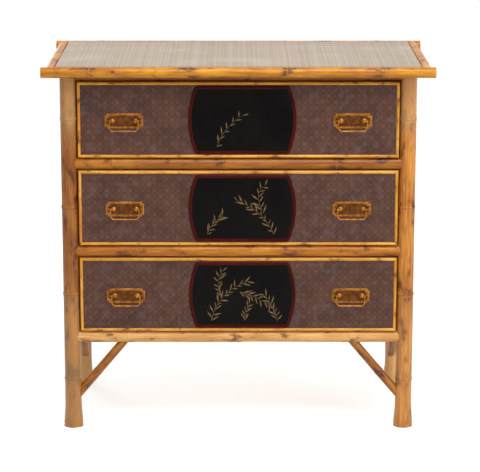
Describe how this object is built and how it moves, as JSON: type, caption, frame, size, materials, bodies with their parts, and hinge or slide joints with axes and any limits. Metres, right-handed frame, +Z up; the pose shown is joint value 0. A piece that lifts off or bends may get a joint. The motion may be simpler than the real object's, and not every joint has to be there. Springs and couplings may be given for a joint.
{
  "type": "chest of drawers",
  "caption": "Low chest of long drawers in a bamboo frame, with black lacquer panels on the drawer fronts, brass drop handles and open bamboo brackets between its legs.",
  "frame": {"origin": "on the floor under the middle of the top", "axes": "+Z up, the drawers open towards -Y, +X to the right of someone in front"},
  "size_m": [0.875, 0.4508, 0.8439],
  "materials": {
    "bamboo": "varnished honey-coloured bamboo with darker nodes and scorch marks",
    "pine": "plain planed pine",
    "matting": "brown embossed leather paper, satin",
    "lacquer": "black gloss lacquer on wood",
    "top_lacquer": "pale grass matting under varnish, satin",
    "brass": "old polished brass",
    "iron": "dark iron nuts"
  },
  "bodies": {
    "case": {"back_board": "pine", "bottom_board": "pine", "bottom_front_rail": "bamboo", "drawer_runners": "pine", "drawer_stops": "pine", "front_left_bracket": "bamboo", "front_left_post": "bamboo", "front_right_bracket": "bamboo", "front_right_post": "bamboo", "left_side_board": "pine", "lower_front_rail": "bamboo", "pole_plugs": "pine", "rail_boards": "pine", "rear_left_post": "bamboo", "rear_right_post": "bamboo", "right_side_board": "pine", "side_brackets": "bamboo", "side_matting": "matting", "side_rails": "bamboo", "side_trim": "bamboo", "top_board": "pine", "top_front_pole": "bamboo", "top_front_rail": "bamboo", "top_panel": "top_lacquer", "top_rear_pole": "bamboo", "top_side_poles": "bamboo", "upper_front_rail": "bamboo"},
    "bottom_drawer": {"bottom_drawer_back": "pine", "bottom_drawer_bottom": "pine", "bottom_drawer_cartouche": "lacquer", "bottom_drawer_front_board": "pine", "bottom_drawer_handle_nuts": "iron", "bottom_drawer_handle_plates": "brass", "bottom_drawer_matting": "matting", "bottom_drawer_sides": "pine", "bottom_drawer_trim": "bamboo"},
    "bottom_drawer_left_bail": {"bottom_drawer_left_bail": "brass"},
    "bottom_drawer_right_bail": {"bottom_drawer_right_bail": "brass"},
    "middle_drawer": {"middle_drawer_back": "pine", "middle_drawer_bottom": "pine", "middle_drawer_cartouche": "lacquer", "middle_drawer_front_board": "pine", "middle_drawer_handle_nuts": "iron", "middle_drawer_handle_plates": "brass", "middle_drawer_matting": "matting", "middle_drawer_sides": "pine", "middle_drawer_trim": "bamboo"},
    "middle_drawer_left_bail": {"middle_drawer_left_bail": "brass"},
    "middle_drawer_right_bail": {"middle_drawer_right_bail": "brass"},
    "top_drawer": {"top_drawer_back": "pine", "top_drawer_bottom": "pine", "top_drawer_cartouche": "lacquer", "top_drawer_front_board": "pine", "top_drawer_handle_nuts": "iron", "top_drawer_handle_plates": "brass", "top_drawer_matting": "matting", "top_drawer_sides": "pine", "top_drawer_trim": "bamboo"},
    "top_drawer_left_bail": {"top_drawer_left_bail": "brass"},
    "top_drawer_right_bail": {"top_drawer_right_bail": "brass"}
  },
  "joints": [
    {"name": "bottom_drawer_slide", "type": "slide", "parent": "case", "child": "bottom_drawer", "axis": [0, -1, 0], "range_m": [0, 0.25]},
    {"name": "bottom_drawer_left_bail_swing", "type": "hinge", "parent": "bottom_drawer", "child": "bottom_drawer_left_bail", "pos_m": [-0.256, -0.1867, 0.313], "axis": [-1, 0, 0], "range_deg": [-15, 165]},
    {"name": "bottom_drawer_right_bail_swing", "type": "hinge", "parent": "bottom_drawer", "child": "bottom_drawer_right_bail", "pos_m": [0.256, -0.1867, 0.313], "axis": [-1, 0, 0], "range_deg": [-15, 165]},
    {"name": "middle_drawer_slide", "type": "slide", "parent": "case", "child": "middle_drawer", "axis": [0, -1, 0], "range_m": [0, 0.25]},
    {"name": "middle_drawer_left_bail_swing", "type": "hinge", "parent": "middle_drawer", "child": "middle_drawer_left_bail", "pos_m": [-0.256, -0.1867, 0.515], "axis": [-1, 0, 0], "range_deg": [-15, 165]},
    {"name": "middle_drawer_right_bail_swing", "type": "hinge", "parent": "middle_drawer", "child": "middle_drawer_right_bail", "pos_m": [0.256, -0.1867, 0.515], "axis": [-1, 0, 0], "range_deg": [-15, 165]},
    {"name": "top_drawer_slide", "type": "slide", "parent": "case", "child": "top_drawer", "axis": [0, -1, 0], "range_m": [0, 0.25]},
    {"name": "top_drawer_left_bail_swing", "type": "hinge", "parent": "top_drawer", "child": "top_drawer_left_bail", "pos_m": [-0.256, -0.1867, 0.717], "axis": [-1, 0, 0], "range_deg": [-15, 165]},
    {"name": "top_drawer_right_bail_swing", "type": "hinge", "parent": "top_drawer", "child": "top_drawer_right_bail", "pos_m": [0.256, -0.1867, 0.717], "axis": [-1, 0, 0], "range_deg": [-15, 165]}
  ]
}
